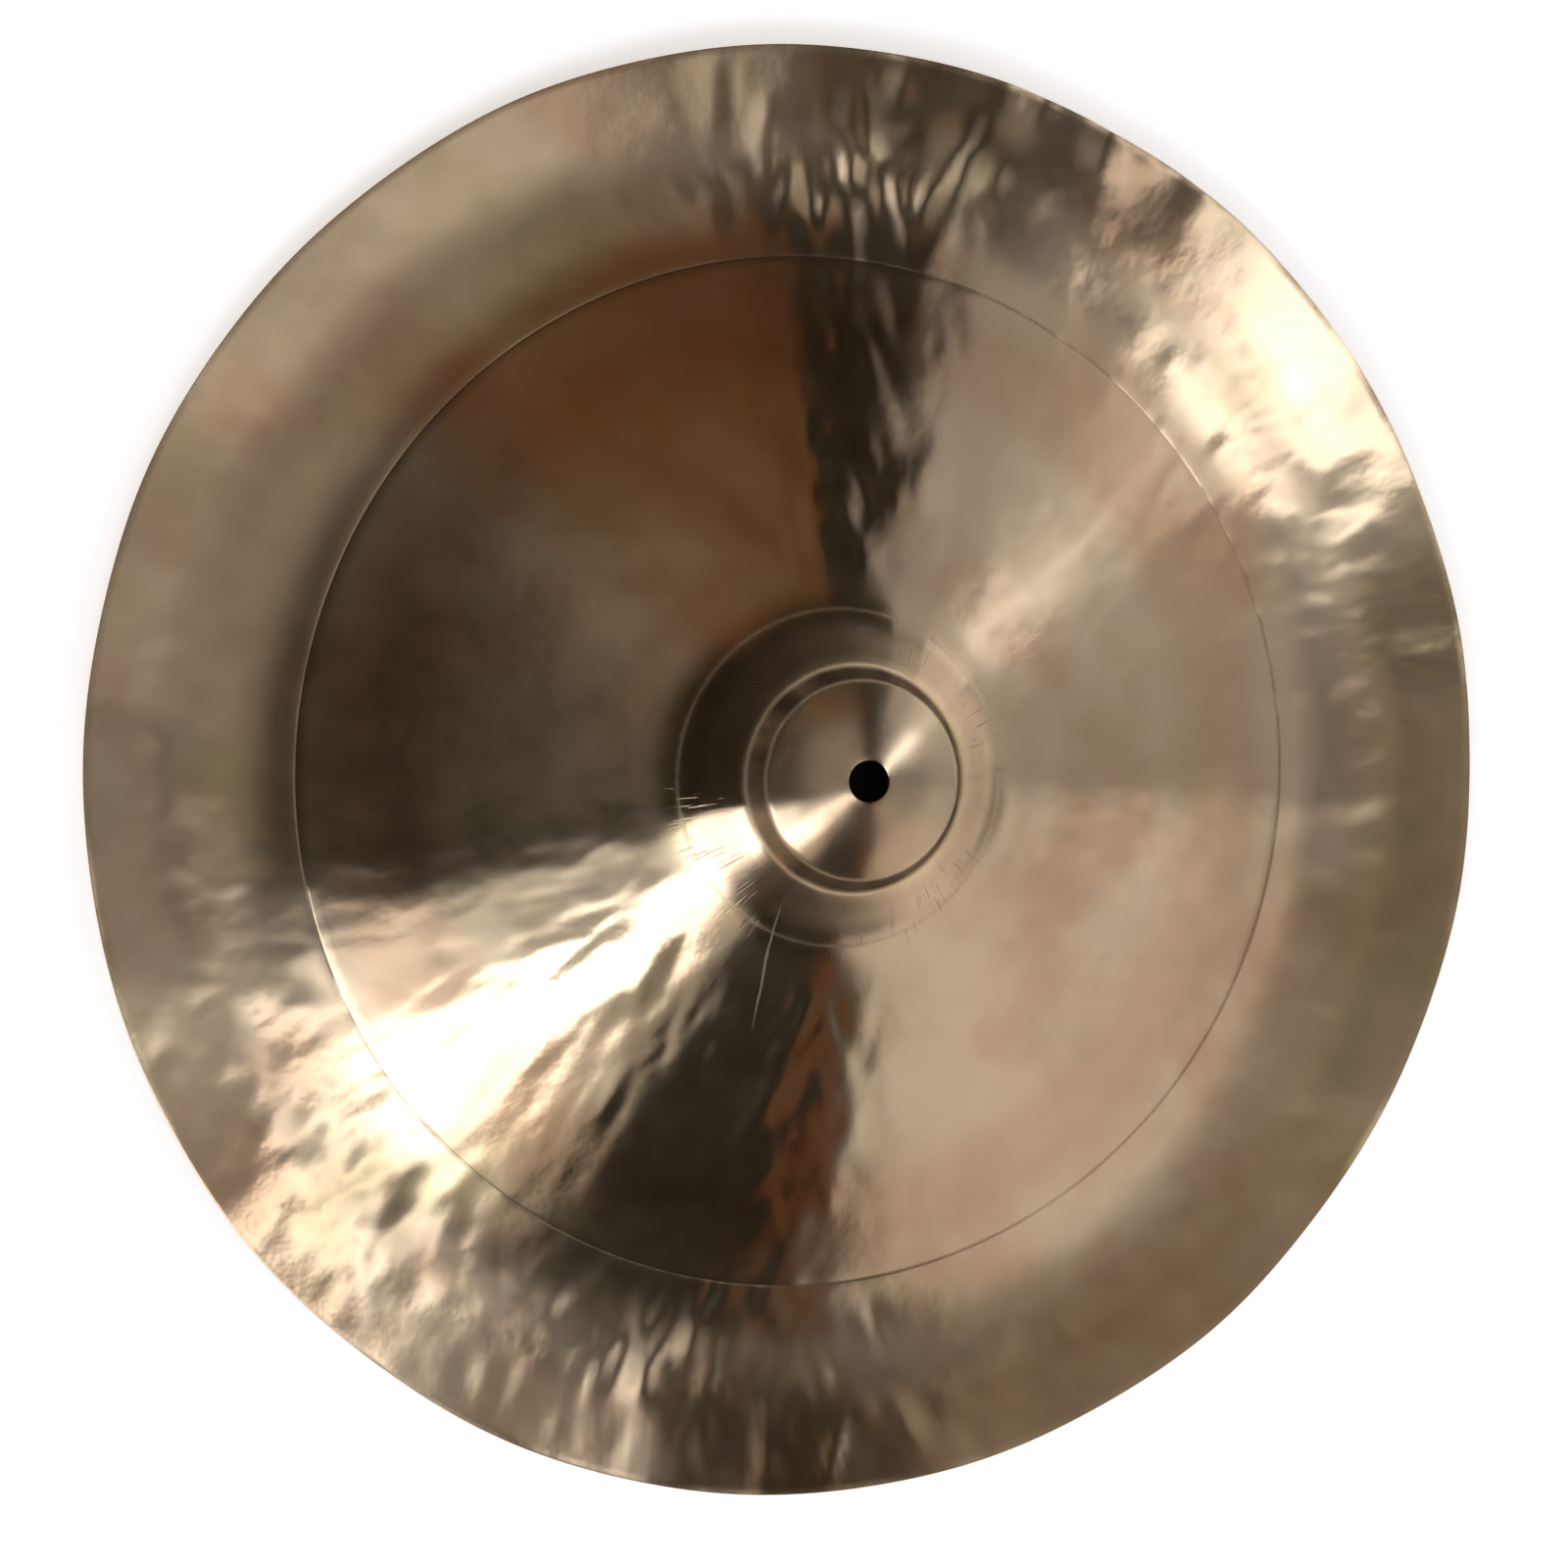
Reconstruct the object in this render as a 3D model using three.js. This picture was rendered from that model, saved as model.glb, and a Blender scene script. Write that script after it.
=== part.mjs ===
// A china cymbal: one disc of hammered and lathed bronze, lying bell up on the crease where its
// flange turns up. Millimetres, +Z up along the axis, z = 0 at the underside of the crease.
import * as THREE from "three";

// Widths across the disc
const rimDiameter = 457.2; // 18 inches over the rim
const flangeWidth = 41.6; // rim in to the crease, the lowest ring of the bend
const scoreDiameter = 326.4; // line scored round the bow, a little inside the bend
const skirtDiameter = 105.6; // foot of the bell
const crownDiameter = 61.4; // sharp ring round the dome of the bell
const stepRun = 3.3; // how far the steep step under the crown ring spreads
const holeDiameter = 12.7; // takes the sleeve of a standard cymbal stand
const seatWidth = 2; // flat land round the hole, where the felts bear

// Heights of the upper face, each above the ring below it
const rimLift = 10.2; // crease up to the rim
const scoreLift = 4.5; // crease up to the scored line
const bowRise = 36.9; // scored line up to the foot of the bell
const skirtRise = 16; // the bell's conical skirt
const stepRise = 8.4; // the steep step under the crown ring
const domeRise = 6.4; // crown ring up to the land round the hole

// Thickness of the sheet, hammered and turned thinner towards the rim
const bellThickness = 1.15;
const creaseThickness = 0.95;
const rimThickness = 0.8;

// Curvature of the spans between rings, as the height of each arc over its chord
const domeBulge = 1.4; // the dome of the bell and the bow swell upwards
const bowBulge = 1.2;

// The bend: the bow and the flange would meet the level of the crease at a knee to either side
const innerKneeRun = 10.3; // crease in to the bow's knee
const outerKneeRun = 11.5; // crease out to the flange's knee

// How far each ring is softened along the sheet, to either side
const crownBlend = 1.6;
const neckBlend = 3;
const skirtBlend = 9;

// Small features
const scoreWidth = 1.3; // of the scored line, on the upper face only
const scoreDepth = 0.2;
const restWidth = 2; // flat worn along the underside of the crease
const edgeBreak = 0.3; // broken corners of the hole

// Hand hammering: a slow wave that grows towards the rim, and radial dents over the bend
const rimWaveHeight = 1.1;
const rimWander = 0.5; // how far the rim strays from a true circle
const rimWaves = [
  { lobes: 3, share: 0.3, turn: 0.4 },
  { lobes: 7, share: 0.35, turn: 2.1 },
  { lobes: 11, share: 0.25, turn: 4.4 },
  { lobes: 17, share: 0.3, turn: 1.2 },
];
const dents = 80;
const dentDepth = 0.35;
const plainRimWidth = 14; // the band inside the rim that the dents leave smooth
const dentWaves = [
  { lobes: 5, share: 0.35, turn: 0.9 },
  { lobes: 13, share: 0.35, turn: 3.3 },
];

// Facets round the disc in each zone, doubling outwards, and along each softened corner
const bellSteps = dents / 2;
const bowSteps = dents;
const flangeSteps = dents * 2;
const cornerSteps = 2;
const arcSteps = 4;
const bendSteps = 3;

const rimRadius = rimDiameter / 2;
const creaseRadius = rimRadius - flangeWidth;
const scoreRadius = scoreDiameter / 2;
const skirtRadius = skirtDiameter / 2;
const crownRadius = crownDiameter / 2;
const holeRadius = holeDiameter / 2;
const restInner = creaseRadius - restWidth / 2;
const restOuter = creaseRadius + restWidth / 2;
const dentedRadius = rimRadius - plainRimWidth;
const scoreHeight = creaseThickness + scoreLift;
const skirtHeight = scoreHeight + bowRise;
const neckHeight = skirtHeight + skirtRise;
const crownHeight = neckHeight + stepRise;
const seatHeight = crownHeight + domeRise;

const point = (radius, height) => new THREE.Vector2(radius, height);

// The left-hand normal of a step along the profile, which points up off the upper face.
const squareTo = (from, to) => point(from.y - to.y, to.x - from.x).normalize();

// The corner that gives an arc of this height once half of each of its sides is softened.
function arcCorner(from, to, height) {
  const middle = from.clone().lerp(to, 1 / 2);
  return middle.addScaledVector(squareTo(from, to), (height * 4) / 3);
}

// Points from start to end through corners: one with no steps stays sharp, and the others are
// rounded over their blend, which takes at most half of each side.
function softened(start, corners, end) {
  const stops = [start, ...corners.map((corner) => corner.at), end];
  const points = [start];
  corners.forEach(({ at, blend = Infinity, steps = cornerSteps }, i) => {
    const towards = (stop) => at.clone().lerp(stop, Math.min(blend / at.distanceTo(stop), 1 / 2));
    const curve = new THREE.QuadraticBezierCurve(towards(stops[i]), at, towards(stops[i + 2]));
    points.push(...(steps ? curve.getPoints(steps) : [at]));
  });
  return [...points, end];
}

// A bend from its flat end at the crease round to where it runs into the straight at far.
function bendFrom(flat, knee, far) {
  const share = Math.min(flat.distanceTo(knee) / far.distanceTo(knee), 1);
  return new THREE.QuadraticBezierCurve(flat, knee, knee.clone().lerp(far, share)).getPoints(bendSteps);
}

// Upper face in three lines: hole to scored line, scored line to crease, and crease to rim
function upperLines() {
  const seatEdge = point(holeRadius + edgeBreak, seatHeight);
  const land = point(holeRadius + seatWidth, seatHeight);
  const crown = point(crownRadius, crownHeight);
  const neck = point(crownRadius + stepRun, neckHeight);
  const skirt = point(skirtRadius, skirtHeight);
  const score = point(scoreRadius, scoreHeight);
  const innerKnee = point(creaseRadius - innerKneeRun, creaseThickness);
  const outerKnee = point(creaseRadius + outerKneeRun, creaseThickness);
  const rim = point(rimRadius, creaseThickness + rimLift);
  const offScore = (stop) => score.clone().lerp(stop, scoreWidth / 2 / score.distanceTo(stop));
  const scoreInner = offScore(skirt);
  const scoreOuter = offScore(innerKnee);
  const bow = softened(
    seatEdge,
    [
      { at: land, steps: 0 },
      { at: arcCorner(land, crown, domeBulge), steps: arcSteps },
      { at: crown, blend: crownBlend },
      { at: neck, blend: neckBlend },
      { at: skirt, blend: skirtBlend },
      { at: arcCorner(skirt, scoreInner, bowBulge), steps: arcSteps },
    ],
    scoreInner,
  );
  const groove = score.clone().addScaledVector(squareTo(scoreInner, scoreOuter), -scoreDepth);
  const innerBend = bendFrom(point(restInner, creaseThickness), innerKnee, scoreOuter).reverse();
  const outerBend = bendFrom(point(restOuter, creaseThickness), outerKnee, rim);
  return { bow, groove, bend: [scoreOuter, ...innerBend], flange: [...outerBend, rim] };
}

// Sheet thickness at a radius, measured square to the upper face
function thicknessAt(radius) {
  if (radius < creaseRadius) {
    const share = THREE.MathUtils.smoothstep(radius, skirtRadius, creaseRadius);
    return THREE.MathUtils.lerp(bellThickness, creaseThickness, share);
  }
  const share = (radius - creaseRadius) / flangeWidth;
  return THREE.MathUtils.lerp(creaseThickness, rimThickness, share);
}

// The underside of a line of upper points, each set in by the local thickness
function undersideOf(line) {
  return line.map((at, i) => {
    const before = line[Math.max(i - 1, 0)];
    const after = line[Math.min(i + 1, line.length - 1)];
    return at.clone().addScaledVector(squareTo(before, after), -thicknessAt(at.x));
  });
}

// Closed section of the sheet: out along the upper face, round the rim, back underneath
function section() {
  const { bow, groove, bend, flange } = upperLines();
  const innerUnder = undersideOf([...bow.slice(0, -1), ...bend]).slice(0, -1);
  const flangeUnder = undersideOf(flange).slice(1);
  const rimTop = flange.at(-1);
  const rimUnder = flangeUnder.at(-1);
  const rimOutward = point(rimTop.y - rimUnder.y, rimUnder.x - rimTop.x).normalize();
  const rimNose = rimTop.clone().lerp(rimUnder, 1 / 2).addScaledVector(rimOutward, rimThickness / 4);
  const holeUnder = innerUnder[0].y;
  return [
    point(holeRadius, seatHeight - edgeBreak),
    ...bow,
    groove,
    ...bend,
    ...flange,
    rimNose,
    ...flangeUnder.reverse(),
    point(restOuter, 0),
    point(restInner, 0),
    ...innerUnder.reverse(),
    point(holeRadius, holeUnder + edgeBreak),
  ];
}

const sumOf = (waves, angle) =>
  waves.reduce((sum, { lobes, share, turn }) => sum + share * Math.sin(lobes * angle + turn), 0);

// How much of a dent's depth shows at a radius: none at the rest, and none past either end
function dentShareAt(radius) {
  const [start, end] = radius < creaseRadius ? [scoreRadius, restInner] : [restOuter, dentedRadius];
  const along = THREE.MathUtils.inverseLerp(start, end, radius);
  return Math.sin(Math.PI * THREE.MathUtils.clamp(along, 0, 1));
}

// How far hammering lifts the sheet at a place
function hammeredLift(radius, angle) {
  const wave = THREE.MathUtils.smoothstep(radius, restOuter, rimRadius) * sumOf(rimWaves, angle);
  const dent = dentShareAt(radius) * (1 + sumOf(dentWaves, angle)) * Math.cos(dents * angle);
  return rimWaveHeight * wave + (dentDepth / 2) * dent;
}

// How far the rim strays in or out at a place, with waves of its own a quarter turn on
function hammeredDrift(radius, angle) {
  const share = THREE.MathUtils.smoothstep(radius, restOuter, rimRadius);
  return rimWander * share * sumOf(rimWaves, angle + Math.PI / 2);
}

const stepsAt = (radius) => {
  if (radius < skirtRadius) return bellSteps;
  return radius < scoreRadius + scoreWidth ? bowSteps : flangeSteps;
};

// Turns the section round the axis, each ring with its zone's facets, neighbours zipped together
function turned(profile) {
  const positions = [];
  const faces = [];
  const rings = profile.map(({ x: radius, y: height }) => {
    const steps = stepsAt(radius);
    const first = positions.length / 3;
    for (let i = 0; i < steps; i++) {
      const angle = (2 * Math.PI * i) / steps;
      const reach = radius + hammeredDrift(radius, angle);
      const lift = height + hammeredLift(radius, angle);
      positions.push(reach * Math.cos(angle), reach * Math.sin(angle), lift);
    }
    return { steps, corner: (i) => first + (i % steps) };
  });
  rings.forEach((ring, index) => {
    const next = rings[(index + 1) % rings.length];
    let i = 0;
    let j = 0;
    while (i < ring.steps || j < next.steps) {
      const advanceRing = (i + 1) * next.steps <= (j + 1) * ring.steps && i < ring.steps;
      const tip = advanceRing ? ring.corner(i + 1) : next.corner(j + 1);
      faces.push(ring.corner(i), next.corner(j), tip);
      if (advanceRing) i++;
      else j++;
    }
  });
  const geometry = new THREE.BufferGeometry();
  geometry.setAttribute("position", new THREE.Float32BufferAttribute(positions, 3));
  geometry.setIndex(faces);
  geometry.computeVertexNormals();
  return geometry;
}

const bronze = new THREE.MeshStandardMaterial({ color: 0xb5935f, roughness: 0.3, metalness: 1 });

const cymbal = new THREE.Mesh(turned(section()), bronze);
cymbal.name = "cymbal";

const group = new THREE.Group();
group.add(cymbal);

export default group;
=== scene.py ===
# China cymbal: one sheet of hammered and lathed bell bronze, lying bell up on a pale floor.
import math
import bpy
import numpy as np
from mathutils import Matrix, Vector


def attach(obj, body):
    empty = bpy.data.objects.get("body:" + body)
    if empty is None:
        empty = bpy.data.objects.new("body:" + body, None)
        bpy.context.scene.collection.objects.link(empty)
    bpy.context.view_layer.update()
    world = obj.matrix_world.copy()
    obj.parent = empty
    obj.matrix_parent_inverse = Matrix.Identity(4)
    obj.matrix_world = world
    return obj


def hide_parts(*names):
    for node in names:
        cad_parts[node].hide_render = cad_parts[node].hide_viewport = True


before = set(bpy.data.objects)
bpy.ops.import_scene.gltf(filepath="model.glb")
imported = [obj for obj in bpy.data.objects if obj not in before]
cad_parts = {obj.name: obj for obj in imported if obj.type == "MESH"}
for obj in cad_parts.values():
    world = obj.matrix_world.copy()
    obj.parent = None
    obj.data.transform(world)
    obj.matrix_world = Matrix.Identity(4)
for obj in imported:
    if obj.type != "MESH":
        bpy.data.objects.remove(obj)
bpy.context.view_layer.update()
mm = 0.001


def linearOf(hexColour):
    parts = [int(hexColour[i:i + 2], 16) / 255 for i in (1, 3, 5)]
    return [c / 12.92 if c <= 0.04045 else ((c + 0.055) / 1.055) ** 2.4 for c in parts] + [1]


def addNode(tree, kind, links=None, out=0, **settings):
    # inputs are given by name or number: a plain value is set on the socket, an output is linked
    node = tree.nodes.new("ShaderNode" + kind)
    for name, value in settings.items():
        setattr(node, name, value)
    for key, value in (links or {}).items():
        socket = node.inputs[key]
        if isinstance(value, bpy.types.NodeSocket):
            tree.links.new(value, socket)
        else:
            socket.default_value = value
    return node.outputs[out] if node.outputs else node


# Sizes in millimetres, from the same measured rings as the solid
sheet = {
    "rimDiameter": 457.2, "flangeWidth": 41.6, "scoreDiameter": 326.4, "skirtDiameter": 105.6,
    "crownDiameter": 61.4, "stepRun": 3.3, "holeDiameter": 12.7, "seatWidth": 2.0,
    "rimLift": 10.2, "scoreLift": 4.5, "bowRise": 36.9, "skirtRise": 16.0, "stepRise": 8.4,
    "domeRise": 6.4, "bellThickness": 1.15, "creaseThickness": 0.95, "rimThickness": 0.8,
    "domeBulge": 1.4, "bowBulge": 1.2, "innerKneeRun": 10.3, "outerKneeRun": 11.5,
    "landBlend": 0.8, "crownBlend": 1.6, "neckBlend": 3.0, "skirtBlend": 9.0,
    "scoreWidth": 1.3, "scoreDepth": 0.17, "restWidth": 2.0,
    "edgeBreak": 0.3, "edgeRun": 0.1, "edgeDrop": 0.08,
    # share of the way over the scored line, share of its depth: its inner wall is the steeper one
    "groove": ((0.08, 0.12), (0.32, 0.92), (0.42, 1.0), (0.7, 0.45), (0.9, 0.08)),
    "noseReach": 0.6, "noseSteps": 6,
    # steps round each corner, and the longest straight piece in each line of the section
    "upperSteps": 4, "underSteps": 2,
    "bowPiece": 3.2, "bendPiece": 2.5, "bowUnderPiece": 9.0, "flangeUnderPiece": 6.0,
    "spinSteps": 540, "mergeWithin": 0.004,
}


def point(radius, height):
    return Vector((radius, height))


def squareTo(start, end):
    along = end - start
    return Vector((-along.y, along.x)).normalized()


def arcCorner(start, end, height):
    return start.lerp(end, 0.5) + squareTo(start, end) * height * 4 / 3


def softened(start, corners, end, most=0.5):
    # a line through corners, each rounded over its blend, which takes at most this share of a side;
    # a corner with no steps stays sharp
    stops = [start] + [at for at, blend, steps in corners] + [end]
    points = [start]
    for i, (at, blend, steps) in enumerate(corners):
        if not steps:
            points.append(at)
            continue
        near, far = (at.lerp(stop, min(blend / (stop - at).length, most))
                     for stop in (stops[i], stops[i + 2]))
        for k in range(steps + 1):
            t = k / steps
            points.append(near * (1 - t) ** 2 + at * 2 * t * (1 - t) + far * t ** 2)
    return points + [end]


def divided(points, longest):
    # long straight stretches get more points, so the hammering has something to move
    made = [points[0]]
    for here, there in zip(points, points[1:]):
        pieces = max(1, math.ceil((there - here).length / longest - 1e-6))
        made += [here.lerp(there, k / pieces) for k in range(1, pieces + 1)]
    return made


def bendFrom(flat, knee, far, steps):
    share = min((flat - knee).length / (far - knee).length, 1)
    return softened(flat, [(knee, math.inf, steps)], knee.lerp(far, share), 1)[1:-1]


def sheetSection(s):
    # closed section of the sheet: out over the upper face, round the rim, back underneath
    rimRadius, holeRadius = s["rimDiameter"] / 2, s["holeDiameter"] / 2
    creaseRadius, scoreRadius = rimRadius - s["flangeWidth"], s["scoreDiameter"] / 2
    skirtRadius, crownRadius = s["skirtDiameter"] / 2, s["crownDiameter"] / 2
    scoreHeight = s["creaseThickness"] + s["scoreLift"]
    skirtHeight = scoreHeight + s["bowRise"]
    neckHeight = skirtHeight + s["skirtRise"]
    crownHeight = neckHeight + s["stepRise"]
    seatHeight = crownHeight + s["domeRise"]
    land = point(holeRadius + s["seatWidth"], seatHeight)
    crown, neck = point(crownRadius, crownHeight), point(crownRadius + s["stepRun"], neckHeight)
    skirt, score = point(skirtRadius, skirtHeight), point(scoreRadius, scoreHeight)
    innerKnee = point(creaseRadius - s["innerKneeRun"], s["creaseThickness"])
    outerKnee = point(creaseRadius + s["outerKneeRun"], s["creaseThickness"])
    restInner = point(creaseRadius - s["restWidth"] / 2, s["creaseThickness"])
    restOuter = point(creaseRadius + s["restWidth"] / 2, s["creaseThickness"])
    rim = point(rimRadius, s["creaseThickness"] + s["rimLift"])
    scoreIn, scoreOut = (score.lerp(stop, s["scoreWidth"] / 2 / (score - stop).length)
                         for stop in (skirt, innerKnee))

    def thicknessAt(radius):
        if radius > creaseRadius:
            share = (radius - creaseRadius) / s["flangeWidth"]
            return s["creaseThickness"] + (s["rimThickness"] - s["creaseThickness"]) * share
        share = min(max((radius - skirtRadius) / (creaseRadius - skirtRadius), 0), 1)
        share = share * share * (3 - 2 * share)
        return s["bellThickness"] + (s["creaseThickness"] - s["bellThickness"]) * share

    def lines(steps):
        bow = softened(point(holeRadius + s["edgeBreak"], seatHeight), [
            (land, s["landBlend"], steps // 2),
            (arcCorner(land, crown, s["domeBulge"]), math.inf, 2 * steps),
            (crown, s["crownBlend"], steps + 1),
            (neck, s["neckBlend"], steps + 1),
            (skirt, s["skirtBlend"], steps + 1),
            (arcCorner(skirt, scoreIn, s["bowBulge"]), math.inf, 2 * steps),
        ], scoreIn)
        bend = [scoreOut] + bendFrom(restInner, innerKnee, scoreOut, 2 * steps)[::-1]
        return bow, bend, bendFrom(restOuter, outerKnee, rim, 2 * steps) + [rim]

    def under(line):
        made = []
        for i, at in enumerate(line):
            before, after = line[max(i - 1, 0)], line[min(i + 1, len(line) - 1)]
            made.append(at - squareTo(before, after) * thicknessAt(at.x))
        return made

    bow, bend, flange = lines(s["upperSteps"])
    bowBelow, bendBelow, flangeBelow = lines(s["underSteps"])
    innerUnder = divided(under(bowBelow[:-1] + bendBelow)[:-1], s["bowUnderPiece"])
    flangeUnder = divided(under(flangeBelow)[1:], s["flangeUnderPiece"])
    bow = divided(bow, s["bowPiece"])
    bend, flange = divided(bend, s["bendPiece"]), divided(flange, s["bendPiece"])
    rimTop, rimUnder = flange[-1], flangeUnder[-1]
    half = (rimTop - rimUnder) / 2
    middle, outward = (rimTop + rimUnder) / 2, Vector((half.y, -half.x))
    nose = [middle + half * math.cos(a) + outward * math.sin(a) * s["noseReach"]
            for a in (math.pi * k / s["noseSteps"] for k in range(1, s["noseSteps"]))]
    down = -squareTo(scoreIn, scoreOut) * s["scoreDepth"]
    groove = [scoreIn.lerp(scoreOut, across) + down * deep for across, deep in s["groove"]]
    edge = [point(holeRadius, seatHeight - s["edgeBreak"]),
            point(holeRadius + s["edgeRun"], seatHeight - s["edgeDrop"])]
    rest = [point(restOuter.x, 0), point(restInner.x, 0)]
    edgeBelow = [point(holeRadius, innerUnder[0].y + s["edgeBreak"])]
    return (edge + bow + groove + bend + flange + nose
            + flangeUnder[::-1] + rest + innerUnder[::-1] + edgeBelow)


def spunSheet(name, section, s):
    # one vertex extruded along the section, then screwed once round the axis
    bpy.ops.object.select_all(action="DESELECT")
    bpy.ops.mesh.primitive_plane_add(size=mm)
    piece = bpy.context.object
    piece.name = piece.data.name = name
    bpy.ops.object.mode_set(mode="EDIT")
    bpy.ops.mesh.select_all(action="SELECT")
    bpy.ops.mesh.merge(type="CENTER")
    start = section[0]
    bpy.ops.transform.translate(value=(start.x * mm, 0, start.y * mm))
    for here, there in zip(section, section[1:] + section[:1]):
        step = (there - here) * mm
        bpy.ops.mesh.extrude_region_move(TRANSFORM_OT_translate={"value": (step.x, 0, step.y)})
    bpy.ops.mesh.select_all(action="SELECT")
    bpy.ops.mesh.remove_doubles(threshold=s["mergeWithin"] * mm)
    bpy.ops.object.mode_set(mode="OBJECT")
    turn = piece.modifiers.new("turn", "SCREW")
    turn.angle, turn.axis = 2 * math.pi, "Z"
    turn.steps = turn.render_steps = s["spinSteps"]
    turn.use_merge_vertices, turn.merge_threshold = True, s["mergeWithin"] * mm
    bpy.ops.object.modifier_apply(modifier=turn.name)
    bpy.ops.object.mode_set(mode="EDIT")
    bpy.ops.mesh.select_all(action="SELECT")
    bpy.ops.mesh.remove_doubles(threshold=s["mergeWithin"] * mm)
    bpy.ops.mesh.normals_make_consistent(inside=False)
    bpy.ops.object.mode_set(mode="OBJECT")
    bpy.ops.object.shade_smooth()
    return piece


# Hammering in millimetres: waves as in the solid, then single blows. Each kind of blow has its
# number, the ring it falls in, its size along and across the radius, and its greatest depth; some
# kinds gather round an angle, with a spread, both in degrees
hammer = {
    "rimWave": 1.1, "rimWander": 0.5,
    "waves": ((3, 0.3, 0.4), (7, 0.35, 2.1), (11, 0.25, 4.4), (17, 0.3, 1.2)),  # lobes, share, turn
    "blows": {
        "bendDents": {"count": 170, "ring": (168, 206), "along": 10.0, "across": 4.0, "deep": 0.06},
        "heavyTop": {"count": 46, "ring": (170, 214), "along": 10.0, "across": 3.0, "deep": 0.27,
                     "round": 95, "spread": 8},
        "heavyFoot": {"count": 46, "ring": (168, 220), "along": 11.0, "across": 3.2, "deep": 0.27,
                      "round": 266, "spread": 10},
        "rimFolds": {"count": 24, "ring": (204, 228), "along": 9.0, "across": 5.0, "deep": 0.4,
                     "round": 82, "spread": 10},
        "rightFolds": {"count": 30, "ring": (150, 226), "along": 15.0, "across": 6.0, "deep": 0.13,
                       "round": 40, "spread": 10},
        "rightCrumple": {"count": 340, "ring": (150, 226), "along": 5.0, "across": 2.6, "deep": 0.06,
                         "round": 32, "spread": 12},
        "leftFolds": {"count": 44, "ring": (160, 226), "along": 14.0, "across": 6.0, "deep": 0.13,
                      "round": 221, "spread": 12},
        "leftCrumple": {"count": 340, "ring": (160, 226), "along": 5.0, "across": 3.0, "deep": 0.08,
                        "round": 224, "spread": 13},
        "leftRipples": {"count": 420, "ring": (60, 178), "along": 9.0, "across": 3.0, "deep": 0.075,
                        "round": 222, "spread": 20},
        "topWaver": {"count": 90, "ring": (58, 165), "along": 8.0, "across": 3.4, "deep": 0.12,
                     "round": 91, "spread": 7},
        "footWaver": {"count": 150, "ring": (70, 175), "along": 7.0, "across": 3.0, "deep": 0.11,
                      "round": 273, "spread": 6},
        "flangeDents": {"count": 240, "ring": (196, 226), "along": 9.0, "across": 6.5, "deep": 0.11},
        "flangeRipples": {"count": 1100, "ring": (176, 226), "along": 4.0, "across": 3.2, "deep": 0.05},
        "bowSmoothing": {"count": 420, "ring": (58, 182), "along": 14.0, "across": 9.0, "deep": 0.12},
        "bowRipples": {"count": 1500, "ring": (56, 178), "along": 5.0, "across": 3.4, "deep": 0.04},
        "rightRipples": {"count": 130, "ring": (160, 226), "along": 13.0, "across": 5.0, "deep": 0.1,
                         "round": 12, "spread": 13},
    },
    # each blow's size along and across varies between these shares, and it leans off the radius
    # by up to the slant; it has died away at this many times its size
    "alongShares": (0.5, 1.5), "acrossShares": (0.6, 1.7), "slant": 0.4, "cutOff": 3,
    # blows set in over restFade beside the flat that the cymbal rests on, but go on in the valley
    # above it, which is the upper face near the crease; from the bell they set in over bellFade
    "restFade": 6.0, "valleyWidth": 12.0, "valleyTop": 0.9, "bellRadius": 55.0, "bellFade": 20.0,
    "seed": 18,
}


def hammered(piece, s, h):
    mesh = piece.data
    co = np.empty(len(mesh.vertices) * 3)
    mesh.vertices.foreach_get("co", co)
    co = co.reshape(-1, 3) / mm
    radius, angle = np.hypot(co[:, 0], co[:, 1]), np.arctan2(co[:, 1], co[:, 0])
    rimRadius = s["rimDiameter"] / 2
    creaseRadius = rimRadius - s["flangeWidth"]
    restInner, restOuter = creaseRadius - s["restWidth"] / 2, creaseRadius + s["restWidth"] / 2
    share = np.clip((radius - restOuter) / (rimRadius - restOuter), 0, 1)
    grown = share * share * (3 - 2 * share)

    def waves(at):
        return sum(part * np.sin(lobes * at + turn) for lobes, part, turn in h["waves"])

    rng = np.random.default_rng(h["seed"])
    struck = np.zeros(len(radius))
    for blow in h["blows"].values():
        inner, outer = blow["ring"]
        for _ in range(blow["count"]):
            at, where = rng.uniform(-math.pi, math.pi), rng.uniform(inner, outer)
            if "round" in blow:
                at = math.radians(rng.normal(blow["round"], blow["spread"]))
            along = blow["along"] * rng.uniform(*h["alongShares"])
            across = blow["across"] * rng.uniform(*h["acrossShares"])
            deep = blow["deep"] * rng.uniform(-1, 1)
            out = radius - where
            off = (angle - at + math.pi) % (2 * math.pi) - math.pi
            off = off * where + out * rng.uniform(-h["slant"], h["slant"])
            near = (np.abs(out) < h["cutOff"] * along) & (np.abs(off) < h["cutOff"] * across)
            struck[near] -= deep * np.exp(-((off[near] / across) ** 2) - (out[near] / along) ** 2)
    # the flat that the cymbal rests on and the bell keep their shape
    fromRest = np.maximum(restInner - radius, radius - restOuter)
    inValley = np.abs(radius - creaseRadius) < h["valleyWidth"]
    inValley &= co[:, 2] > s["creaseThickness"] * h["valleyTop"]
    byRest = np.where(inValley, 1, np.clip(fromRest / h["restFade"], 0, 1))
    byBell = np.clip((radius - h["bellRadius"]) / h["bellFade"], 0, 1)
    lift = h["rimWave"] * grown * waves(angle) + struck * (byRest * byBell)
    reach = (radius + h["rimWander"] * grown * waves(angle + math.pi / 2)) / np.maximum(radius, 1)
    co[:, 0] *= reach
    co[:, 1] *= reach
    co[:, 2] = np.maximum(co[:, 2] + lift, 0)  # worn flat where it rests
    mesh.vertices.foreach_set("co", (co * mm).ravel())
    mesh.update()


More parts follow.
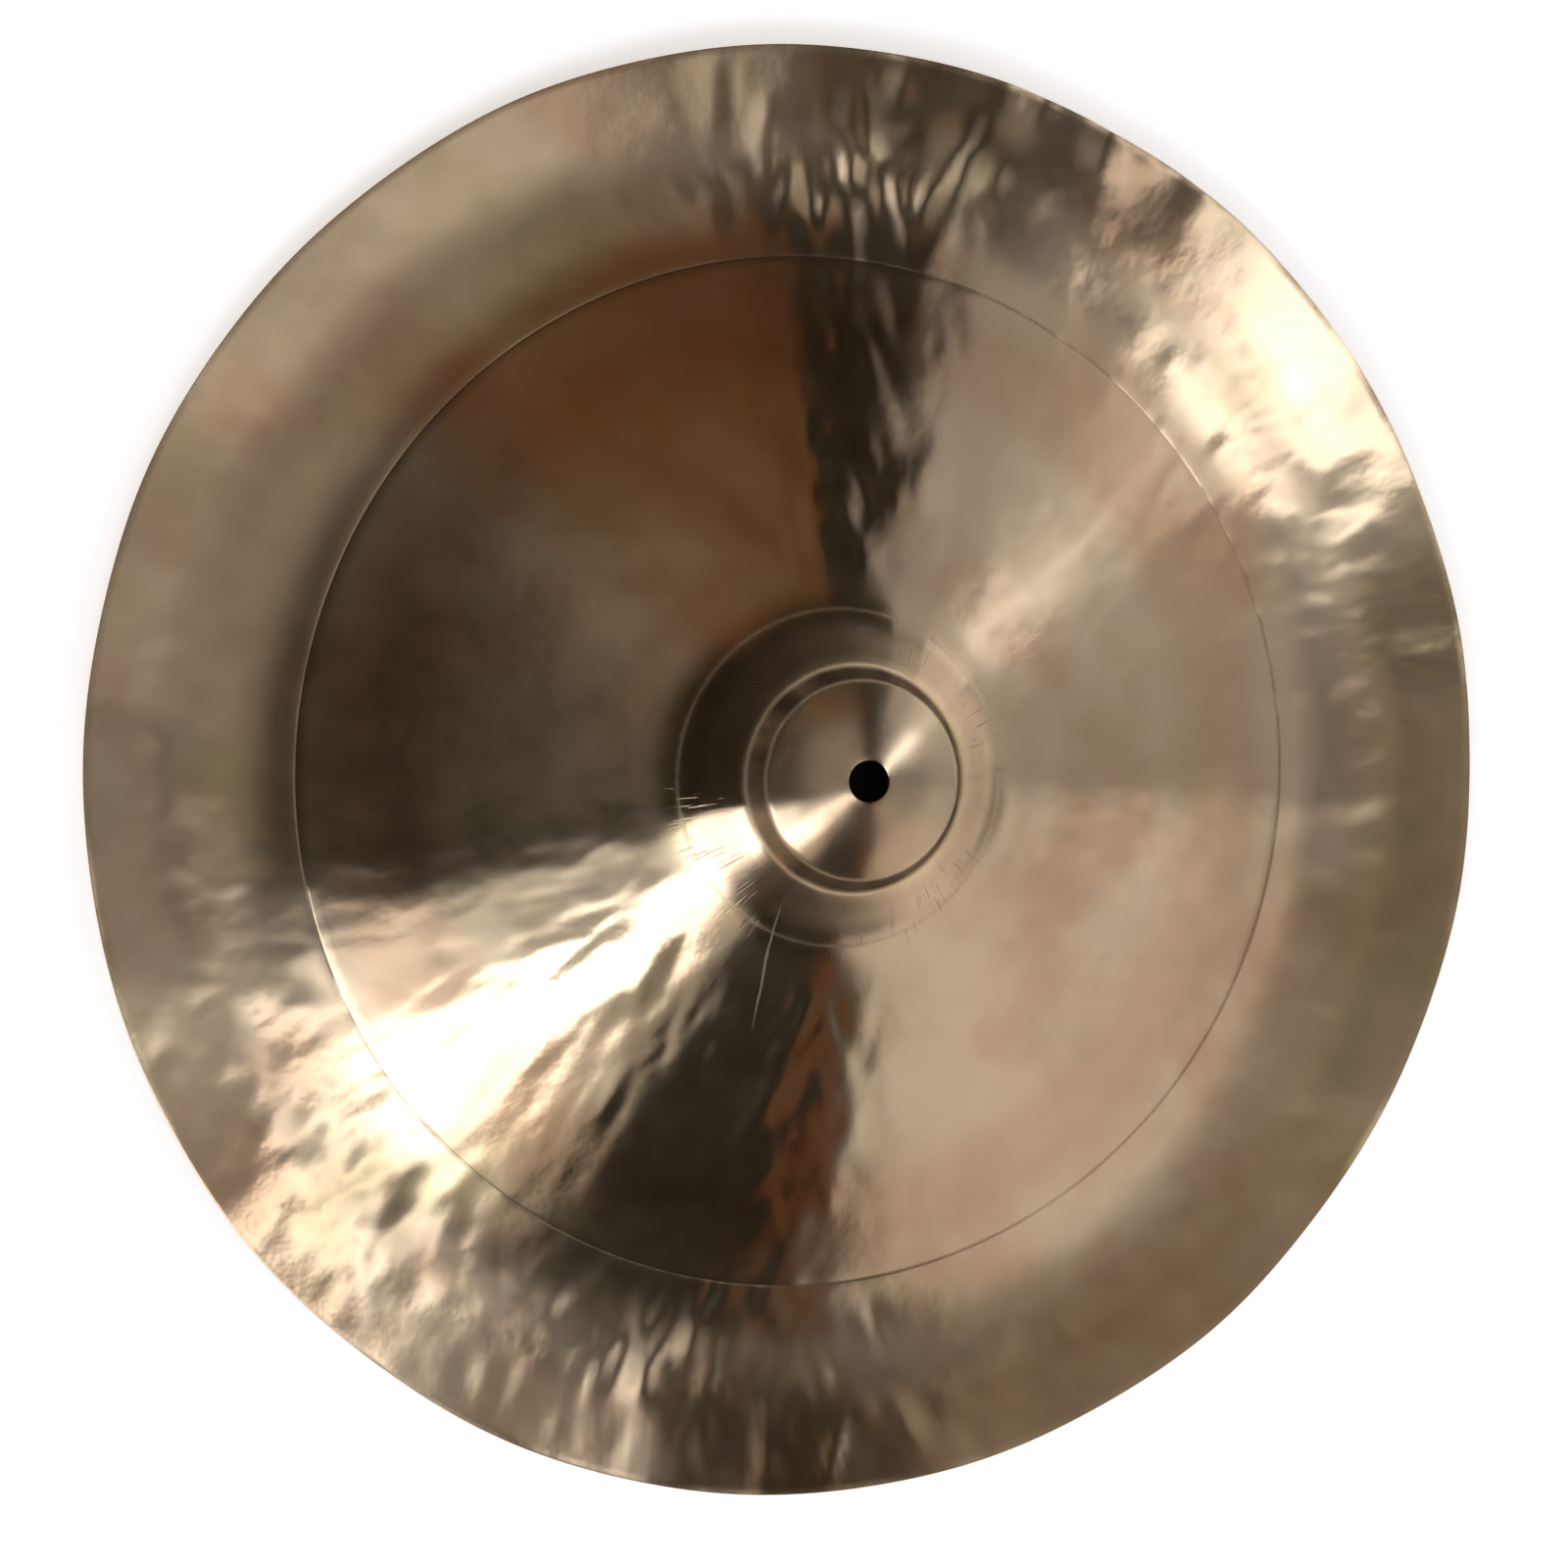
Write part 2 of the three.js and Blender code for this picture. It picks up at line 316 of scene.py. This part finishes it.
# Bell bronze, about 20 percent tin, hammered and turned on a lathe. The fine turned rings spread
# every reflection along the radius; old handling leaves brown and olive clouds. Dirt and painted shade
# darken the corner under the crown, the scored line and the hairs round the foot of the bell. Widths
# and spacings are in millimetres
bronze = {
    "colour": "#D9C09D", "brownCloud": "#C8A27E", "oliveCloud": "#C6B086", "worn": "#BCA183",
    # dark colour of dirt and painted shade, for the corner under the crown, the scored line and the
    # hairs
    "dirtAndShade": "#2A1C12",
    # clouds, blotches, and the dirt and painted shade: sizes, greatest shares, and where in the noise
    # each starts and is full
    "cloudSize": 60, "clouds": 0.75, "brownFrom": 0.45, "brownFull": 0.68,
    "oliveFrom": 0.5, "oliveFull": 0.7, "oliveShift": (300, 120, 0),
    "blotchSize": 12, "blotches": 0.35, "blotchFrom": 0.62, "blotchFull": 0.8,
    "patchSize": 12, "cornerFrom": 0.3, "cornerFull": 0.65, "scoreFrom": 0.4, "scoreFull": 0.6,
    "roughness": 0.225, "domeRoughness": 0.26, "skirtRoughness": 0.17, "bowRoughness": 0.195,
    # a band is its inner and outer radius and its softness, an edge lies off the ring that it names
    "bowBand": (62, 144, 8), "domeEdge": 1, "skirtEdge": (-4, 6),
    "blotchRoughness": (-0.015, 0.03), "roughFrom": 0.3, "roughFull": 0.8, "dirtRoughness": 0.15,
    # reflections stretched square to the turned rings, a quarter turn from the tangent
    "stretch": 0.98, "lineRotation": 0.25,
    "ringSpacing": 2.2, "ringDepth": 0.003, "bellRingDepth": 0.012, "bellRings": (6, -1),
    "planishSize": 5.5, "planishDepth": 0.05, "planishLeast": 0.35, "planishBand": (60, 260, 6),
    "planishFrom": 0.35, "planishFull": 0.6,
    "hairs": {"ring": (41, 55), "soft": 5, "angle": 0.011, "length": 12, "depth": 0.025,
              "dirtAndShade": 0.5, "from": 0.6, "full": 0.72, "patchFrom": 0.42, "patchFull": 0.6},
    "scratch": {"x": -13.8, "y": -61, "turn": -2, "length": 22, "width": 0.45, "wobbleSize": 9,
                "core": 0.6, "roughness": 0.3},
    # inner and outer radius, softness, share, tint
    "dullRings": ((126, 156, 9, 0.55, "brownCloud"), (38, 49, 3, 0.7, "worn")),
    "footLine": {"ring": (51.6, 52.8), "soft": 0.8, "roughness": 0.12},
    # greatest share of the dirt and painted shade, and the share of it that is there where it is
    # thinnest
    "cornerDirtAndShade": 0.9, "cornerLeast": 0.75, "cornerSpill": 0.6, "cornerSoft": 0.9,
    "scoreDirtAndShade": 0.25, "scoreLeast": 0.2, "scoreSoft": 0.4,
}


def latheTurnedBronze(b, s):
    material = bpy.data.materials.new("latheTurnedBellBronze")
    material.use_nodes = True
    tree = material.node_tree
    tree.nodes.clear()
    place = addNode(tree, "TexCoord", out="Object")
    inMm = addNode(tree, "VectorMath", {0: place, "Scale": 1 / mm}, operation="SCALE")
    flat = addNode(tree, "VectorMath", {0: inMm, 1: (1, 1, 0)}, operation="MULTIPLY")
    radius = addNode(tree, "VectorMath", {0: flat}, out="Value", operation="LENGTH")
    outward = addNode(tree, "VectorMath", {0: flat}, operation="NORMALIZE")
    dirtAndShadeColour = linearOf(b["dirtAndShade"])
    crown, neck = s["crownDiameter"] / 2, s["crownDiameter"] / 2 + s["stepRun"]
    score, lip = s["scoreDiameter"] / 2, s["scoreWidth"] / 2
    skirt = s["skirtDiameter"] / 2

    def ringBand(inner, outer, soft):
        # 1 between two radii in millimetres, falling to 0 over the soft width
        rise = addNode(tree, "MapRange", {"Value": radius, "From Min": inner - soft,
                                          "From Max": inner + soft}, interpolation_type="SMOOTHSTEP")
        fall = addNode(tree, "MapRange", {"Value": radius, "From Min": outer + soft,
                                          "From Max": outer - soft}, interpolation_type="SMOOTHSTEP")
        return addNode(tree, "Math", {0: rise, 1: fall}, operation="MULTIPLY")

    # colour: brown and olive clouds, small brown blotches
    brown = addNode(tree, "TexNoise", {"Vector": flat, "Scale": 1 / b["cloudSize"], "Detail": 3})
    brownShare = addNode(tree, "MapRange", {"Value": brown, "From Min": b["brownFrom"],
                                            "From Max": b["brownFull"], "To Max": b["clouds"]},
                         interpolation_type="SMOOTHSTEP")
    colour = addNode(tree, "Mix", {0: brownShare, 6: linearOf(b["colour"]),
                                   7: linearOf(b["brownCloud"])}, out=2, data_type="RGBA")
    shifted = addNode(tree, "VectorMath", {0: flat, 1: b["oliveShift"]})
    olive = addNode(tree, "TexNoise", {"Vector": shifted, "Scale": 1 / b["cloudSize"], "Detail": 3})
    oliveShare = addNode(tree, "MapRange", {"Value": olive, "From Min": b["oliveFrom"],
                                            "From Max": b["oliveFull"], "To Max": b["clouds"]},
                         interpolation_type="SMOOTHSTEP")
    colour = addNode(tree, "Mix", {0: oliveShare, 6: colour, 7: linearOf(b["oliveCloud"])},
                     out=2, data_type="RGBA")
    blotch = addNode(tree, "TexNoise", {"Vector": flat, "Scale": 1 / b["blotchSize"], "Detail": 4,
                                        "Roughness": 0.6})
    blotchShare = addNode(tree, "MapRange", {"Value": blotch, "From Min": b["blotchFrom"],
                                             "From Max": b["blotchFull"], "To Max": b["blotches"]},
                          interpolation_type="SMOOTHSTEP")
    colour = addNode(tree, "Mix", {0: blotchShare, 6: colour, 7: linearOf(b["brownCloud"])},
                     out=2, data_type="RGBA")

    # browner rings on the outer bow and the skirt of the bell
    for inner, outer, soft, share, tint in b["dullRings"]:
        dull = addNode(tree, "Math", {0: ringBand(inner, outer, soft), 1: share},
                       operation="MULTIPLY")
        colour = addNode(tree, "Mix", {0: dull, 6: colour, 7: linearOf(b[tint])},
                         out=2, data_type="RGBA")

    # dirt and painted shade under the crown ring and in the scored line, heavier in some places than in
    # others
    patches = addNode(tree, "TexNoise", {"Vector": flat, "Scale": 1 / b["patchSize"], "Detail": 2})
    cornerShare = addNode(tree, "MapRange", {"Value": patches, "From Min": b["cornerFrom"],
                                             "From Max": b["cornerFull"],
                                             "To Min": b["cornerLeast"] * b["cornerDirtAndShade"],
                                             "To Max": b["cornerDirtAndShade"]})
    # the corner under the crown ring, darkened with dirt and painted shade
    cornerBand = ringBand(crown, neck + b["cornerSpill"], b["cornerSoft"])
    corner = addNode(tree, "Math", {0: cornerBand, 1: cornerShare}, operation="MULTIPLY")
    # the scored line, darkened all round with dirt and painted shade
    lineShare = addNode(tree, "MapRange", {"Value": brown, "From Min": b["scoreFrom"],
                                           "From Max": b["scoreFull"],
                                           "To Min": b["scoreLeast"] * b["scoreDirtAndShade"],
                                           "To Max": b["scoreDirtAndShade"]})
    lineBand = ringBand(score - lip / 2, score + lip, lip * b["scoreSoft"])
    line = addNode(tree, "Math", {0: lineBand, 1: lineShare}, operation="MULTIPLY")
    dirtAndShade = addNode(tree, "Math", {0: corner, 1: line}, operation="MAXIMUM")
    colour = addNode(tree, "Mix", {0: dirtAndShade, 6: colour, 7: dirtAndShadeColour}, out=2, data_type="RGBA")

    # turned rings, drawn coarser than they are so that they show, deeper on the bell
    fromNeck, fromCrown = b["bellRings"]
    bell = addNode(tree, "MapRange", {"Value": radius, "From Min": neck + fromNeck,
                                      "From Max": crown + fromCrown},
                   interpolation_type="SMOOTHSTEP")
    side = addNode(tree, "SeparateXYZ", {0: outward})
    ringCount = addNode(tree, "Math", {0: radius, 1: b["ringSpacing"]}, operation="DIVIDE")
    acrossRings = addNode(tree, "CombineXYZ", {"X": ringCount, "Y": side})
    rings = addNode(tree, "TexNoise", {"Vector": acrossRings, "Scale": 1, "Detail": 2})
    ringDepth = addNode(tree, "MapRange", {"Value": bell, "To Min": b["ringDepth"],
                                           "To Max": b["bellRingDepth"]})
    height = addNode(tree, "Math", {0: rings, 1: ringDepth}, operation="MULTIPLY")

    # small hammer facets on the bow and flange
    facets = addNode(tree, "TexNoise", {"Vector": flat, "Scale": 1 / b["planishSize"], "Detail": 2})
    facetDepth = addNode(tree, "MapRange", {"Value": brown, "From Min": b["planishFrom"],
                                            "From Max": b["planishFull"],
                                            "To Min": b["planishLeast"] * b["planishDepth"],
                                            "To Max": b["planishDepth"]})
    facetDepth = addNode(tree, "Math", {0: facetDepth, 1: ringBand(*b["planishBand"])},
                         operation="MULTIPLY")
    height = addNode(tree, "Math", {0: facets, 1: facetDepth, 2: height}, operation="MULTIPLY_ADD")

    # short radial hairs round the foot of the bell, as bumps, darkened in colour with dirt and painted
    # shade
    h = b["hairs"]
    around = addNode(tree, "VectorMath", {0: outward, "Scale": 1 / h["angle"]}, operation="SCALE")
    lengthwise = addNode(tree, "Math", {0: radius, 1: h["length"]}, operation="DIVIDE")
    lifted = addNode(tree, "CombineXYZ", {"Z": lengthwise})
    hairPlace = addNode(tree, "VectorMath", {0: around, 1: lifted})
    hairs = addNode(tree, "TexNoise", {"Vector": hairPlace, "Scale": 1, "Detail": 1})
    hairs = addNode(tree, "MapRange", {"Value": hairs, "From Min": h["from"],
                                       "From Max": h["full"]}, interpolation_type="SMOOTHSTEP")
    hairs = addNode(tree, "Math", {0: hairs, 1: ringBand(*h["ring"], h["soft"])},
                    operation="MULTIPLY")
    hairPatches = addNode(tree, "MapRange", {"Value": patches, "From Min": h["patchFrom"],
                                             "From Max": h["patchFull"]})
    hairs = addNode(tree, "Math", {0: hairs, 1: hairPatches}, operation="MULTIPLY")
    height = addNode(tree, "Math", {0: hairs, 1: -h["depth"], 2: height}, operation="MULTIPLY_ADD")
    hairShare = addNode(tree, "Math", {0: hairs, 1: h["dirtAndShade"]}, operation="MULTIPLY")
    colour = addNode(tree, "Mix", {0: hairShare, 6: colour, 7: dirtAndShadeColour}, out=2, data_type="RGBA")
    bump = addNode(tree, "Bump", {"Height": height, "Distance": mm, "Strength": 1})

    # one long scratch down the skirt, which scatters light out of the dark beside the highlight
    c = b["scratch"]
    fromScratch = addNode(tree, "VectorMath", {0: flat, 1: (-c["x"], -c["y"], 0)})
    turned = addNode(tree, "VectorRotate", {"Vector": fromScratch, "Angle": math.radians(c["turn"])},
                     rotation_type="Z_AXIS")
    wobble = addNode(tree, "TexNoise", {"Vector": flat, "Scale": 1 / c["wobbleSize"]})
    bent = addNode(tree, "CombineXYZ", {"X": wobble})
    turned = addNode(tree, "VectorMath", {0: turned, 1: bent})
    squeezed = addNode(tree, "VectorMath", {0: turned, 1: (1 / c["width"], 1 / c["length"], 0)},
                       operation="MULTIPLY")
    offScratch = addNode(tree, "VectorMath", {0: squeezed}, out="Value", operation="LENGTH")
    scratch = addNode(tree, "MapRange", {"Value": offScratch, "From Min": 1,
                                         "From Max": c["core"]})

    # roughness: by zone, then blotches, the line round the foot of the bell, the dirt and painted
    # shade, and the scratch
    smoothest, roughest = b["blotchRoughness"]
    blotchRough = addNode(tree, "MapRange", {"Value": blotch, "From Min": b["roughFrom"],
                                             "From Max": b["roughFull"],
                                             "To Min": smoothest, "To Max": roughest})
    dome = addNode(tree, "MapRange", {"Value": radius, "From Min": crown + b["domeEdge"],
                                      "From Max": crown - b["domeEdge"],
                                      "To Min": b["skirtRoughness"], "To Max": b["domeRoughness"]})
    skirtIn, skirtOut = b["skirtEdge"]
    outer = addNode(tree, "MapRange", {"Value": radius, "From Min": skirt + skirtIn,
                                       "From Max": skirt + skirtOut})
    outer = addNode(tree, "Math", {0: outer, 1: b["roughness"] - b["skirtRoughness"]},
                    operation="MULTIPLY")
    roughness = addNode(tree, "Math", {0: dome, 1: outer}, operation="ADD")
    bowChange = b["bowRoughness"] - b["roughness"]
    roughness = addNode(tree, "Math", {0: ringBand(*b["bowBand"]), 1: bowChange, 2: roughness},
                        operation="MULTIPLY_ADD")
    roughness = addNode(tree, "Math", {0: roughness, 1: blotchRough}, operation="ADD")
    f = b["footLine"]
    roughness = addNode(tree, "Math", {0: ringBand(*f["ring"], f["soft"]), 1: f["roughness"],
                                       2: roughness}, operation="MULTIPLY_ADD")
    roughness = addNode(tree, "Math", {0: dirtAndShade, 1: b["dirtRoughness"], 2: roughness},
                        operation="MULTIPLY_ADD")
    roughness = addNode(tree, "Math", {0: scratch, 1: c["roughness"], 2: roughness},
                        operation="MULTIPLY_ADD")
    tangent = addNode(tree, "Tangent", direction_type="RADIAL", axis="Z")
    shader = addNode(tree, "BsdfPrincipled", {
        "Base Color": colour, "Metallic": 1, "Roughness": roughness,
        "Anisotropic": b["stretch"], "Anisotropic Rotation": b["lineRotation"],
        "Tangent": tangent, "Normal": bump})
    addNode(tree, "OutputMaterial", {"Surface": shader})
    return material


floorLook = {"size": 40, "colour": "#E4E2E0", "glow": 0.8, "glowFrom": 0.17, "glowTo": 0.26}


def seenRays(tree):
    # 1 for what the camera sees, straight, mirrored in metal or through glass
    seen = addNode(tree, "LightPath", out="Is Camera Ray")
    for ray in ("Is Glossy Ray", "Is Transmission Ray"):
        other = addNode(tree, "LightPath", out=ray)
        seen = addNode(tree, "Math", {0: seen, 1: other}, operation="MAXIMUM")
    return seen


def paleFloor(f):
    # it glows so that it shows white, though not under the cymbal; the glow fades in from under the rim
    # to beyond it, which paints a shade round the cymbal on top of its real shadow
    bpy.ops.object.select_all(action="DESELECT")
    bpy.ops.mesh.primitive_plane_add(size=f["size"])
    floor = bpy.context.object
    floor.name = "paleFloor"
    material = bpy.data.materials.new("matWhiteFloor")
    material.use_nodes = True
    tree = material.node_tree
    tree.nodes.clear()
    place = addNode(tree, "TexCoord", out="Object")
    reach = addNode(tree, "VectorMath", {0: place}, out="Value", operation="LENGTH")
    glow = addNode(tree, "MapRange", {"Value": reach, "From Min": f["glowFrom"],
                                      "From Max": f["glowTo"], "To Max": f["glow"]},
                   interpolation_type="SMOOTHSTEP")
    glow = addNode(tree, "Math", {0: glow, 1: seenRays(tree)}, operation="MULTIPLY")
    diffuse = addNode(tree, "BsdfDiffuse", {"Color": linearOf(f["colour"])})
    emission = addNode(tree, "Emission", {"Strength": glow})
    both = addNode(tree, "AddShader", {0: diffuse, 1: emission})
    addNode(tree, "OutputMaterial", {"Surface": both})
    floor.data.materials.append(material)


# The camera looks down on the upper face from 1.5 m, 17 degrees off the axis, in millimetres and
# degrees; the near side is on the left of the picture
view = {"distance": 1500.0, "lean": 17.27, "turn": 7.9, "aimX": -7.42, "aimY": -4.32,
        "height": 11.15, "focalPixels": 4856, "framePixels": 1600, "sensor": 36, "nearest": 10}


def photoCamera(v):
    lean, turn = math.radians(v["lean"]), math.radians(v["turn"])
    right = Vector((math.cos(lean), 0, math.sin(lean)))
    up = Vector((0, 1, 0))
    back = Vector((-math.sin(lean), 0, math.cos(lean)))
    xAxis = right * math.cos(turn) + up * math.sin(turn)
    yAxis = up * math.cos(turn) - right * math.sin(turn)
    turned = Matrix((xAxis, yAxis, back)).transposed().to_4x4()
    place = Vector((v["aimX"], v["aimY"], v["height"])) * mm + back * v["distance"] * mm
    data = bpy.data.cameras.new("photoCamera")
    data.lens = v["focalPixels"] / v["framePixels"] * v["sensor"]
    data.sensor_width = v["sensor"]
    data.clip_start = v["nearest"] * mm
    camera = bpy.data.objects.new("photoCamera", data)
    bpy.context.scene.collection.objects.link(camera)
    camera.matrix_world = Matrix.Translation(place) @ turned
    bpy.context.scene.camera = camera


# Soft boxes on a three metre dome: where each is seen from the cymbal (tilt off the vertical and
# azimuth, degrees), width and length in metres, turn about the line of sight, pitch, strength
boxDistance = 3.0
softBoxes = {
    "windowOuter": (58, 228, 1.50, 1.9, -26, 0, 4.2, "#EDF2FF"),
    "windowInner": (32.5, 250.5, 0.58, 1.45, -22, 0, 4.4, "#EDF2FF"),
    "windowNeck": (14.6, 262, 0.16, 0.5, -42, 0, 4.2, "#EDF2FF"),
    "windowReveal": (44, 260, 0.52, 1.05, -26, 0, 0.9, "#FFFFFF"),
    "windowTip": (12.2, -39.6, 0.18, 0.66, 85, 0, 4.4, "#EDF2FF"),
    "tanWall": (62, -32.5, 2.8, 2.5, 48, 8, 0.80, "#F8F6FF"),
    "tanWallInner": (29, -14, 1.0, 1.1, 0, 0, 0.33, "#F8F6FF"),
    "tanWallFar": (63.5, 29, 3.1, 2.75, 19, -3, 0.47, "#F8F6FF"),
    "stripNear": (32.0, 24.4, 0.26, 1.05, 21, 0, 4.4, "#EDF2FF"),
    "stripFar": (54.5, 33.4, 0.035, 0.75, 15, 0, 1.5, "#EDF2FF"),
    "lowWindow": (80, 40, 0.9, 0.9, 0, 0, 0.6, "#FFFFFF"),
    "orangeReveal": (43, -58, 0.22, 1.2, -24, 0, 0.14, "#FFA860"),
    "brownWall": (38, 100, 1.8, 1.3, 0, 0, 0.12, "#FFAC60"),
    "overheadFill": (9, 100, 1.6, 1.6, 0, 0, 0.32, "#FFF8F1"),
}
room = {"colour": "#FFEDC4", "strength": 0.012,
        "backdrop": "#FFFFFF", "backdropTop": 0.02, "backdropFull": -0.1}


def softBox(name, tilt, azimuth, width, length, spin, pitch, strength, colour):
    t, a, turn, lean = (math.radians(v) for v in (tilt, azimuth, spin, pitch))
    outward = Vector((math.sin(t) * math.cos(a), math.sin(t) * math.sin(a), math.cos(t)))
    downhill = Vector((math.cos(t) * math.cos(a), math.cos(t) * math.sin(a), -math.sin(t)))
    sideways = Vector((-math.sin(a), math.cos(a), 0))
    across = sideways * math.cos(turn) - downhill * math.sin(turn)
    along = downhill * math.cos(turn) + sideways * math.sin(turn)
    data = bpy.data.lights.new(name, "AREA")
    data.shape, data.size, data.size_y = "RECTANGLE", length, width
    data.energy = strength * math.pi * width * length
    data.color = linearOf(colour)[:3]
    lamp = bpy.data.objects.new(name, data)
    bpy.context.scene.collection.objects.link(lamp)
    lamp.visible_camera = False
    xAxis = along * math.cos(lean) - outward * math.sin(lean)
    zAxis = outward * math.cos(lean) + along * math.sin(lean)
    lamp.matrix_world = (Matrix.Translation(outward * boxDistance)
                         @ Matrix((xAxis, across, zAxis)).transposed().to_4x4())


def studioLight():
    world = bpy.data.worlds.new("studioRoom")
    bpy.context.scene.world = world
    world.use_nodes = True
    tree = world.node_tree
    tree.nodes.clear()
    # a pale backdrop stands behind the floor, and the room above it is dark
    way = addNode(tree, "TexCoord", out="Generated")
    up = addNode(tree, "SeparateXYZ", {0: way}, out="Z")
    low = addNode(tree, "MapRange", {"Value": up, "From Min": room["backdropTop"],
                                     "From Max": room["backdropFull"]})
    low = addNode(tree, "Math", {0: low, 1: seenRays(tree)}, operation="MULTIPLY")
    straight = addNode(tree, "LightPath", out="Is Camera Ray")
    shown = addNode(tree, "Math", {0: low, 1: straight}, operation="MAXIMUM")
    dark = addNode(tree, "Background", {"Color": linearOf(room["colour"]),
                                        "Strength": room["strength"]})
    white = addNode(tree, "Background", {"Color": linearOf(room["backdrop"]), "Strength": 1})
    both = addNode(tree, "MixShader", {0: shown, 1: dark, 2: white})
    addNode(tree, "OutputWorld", {"Surface": both})
    for name, values in softBoxes.items():
        softBox(name, *values)


scene = bpy.context.scene
scene.view_settings.view_transform = "Standard"

cymbal = spunSheet("bronzeCymbal", sheetSection(sheet), sheet)
print("sheet spun:", len(cymbal.data.polygons), "faces")
hammered(cymbal, sheet, hammer)
cymbal.data.materials.append(latheTurnedBronze(bronze, sheet))
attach(cymbal, "root")
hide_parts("cymbal")
print("cymbal hammered and finished")

paleFloor(floorLook)
photoCamera(view)
studioLight()
print("studio set")
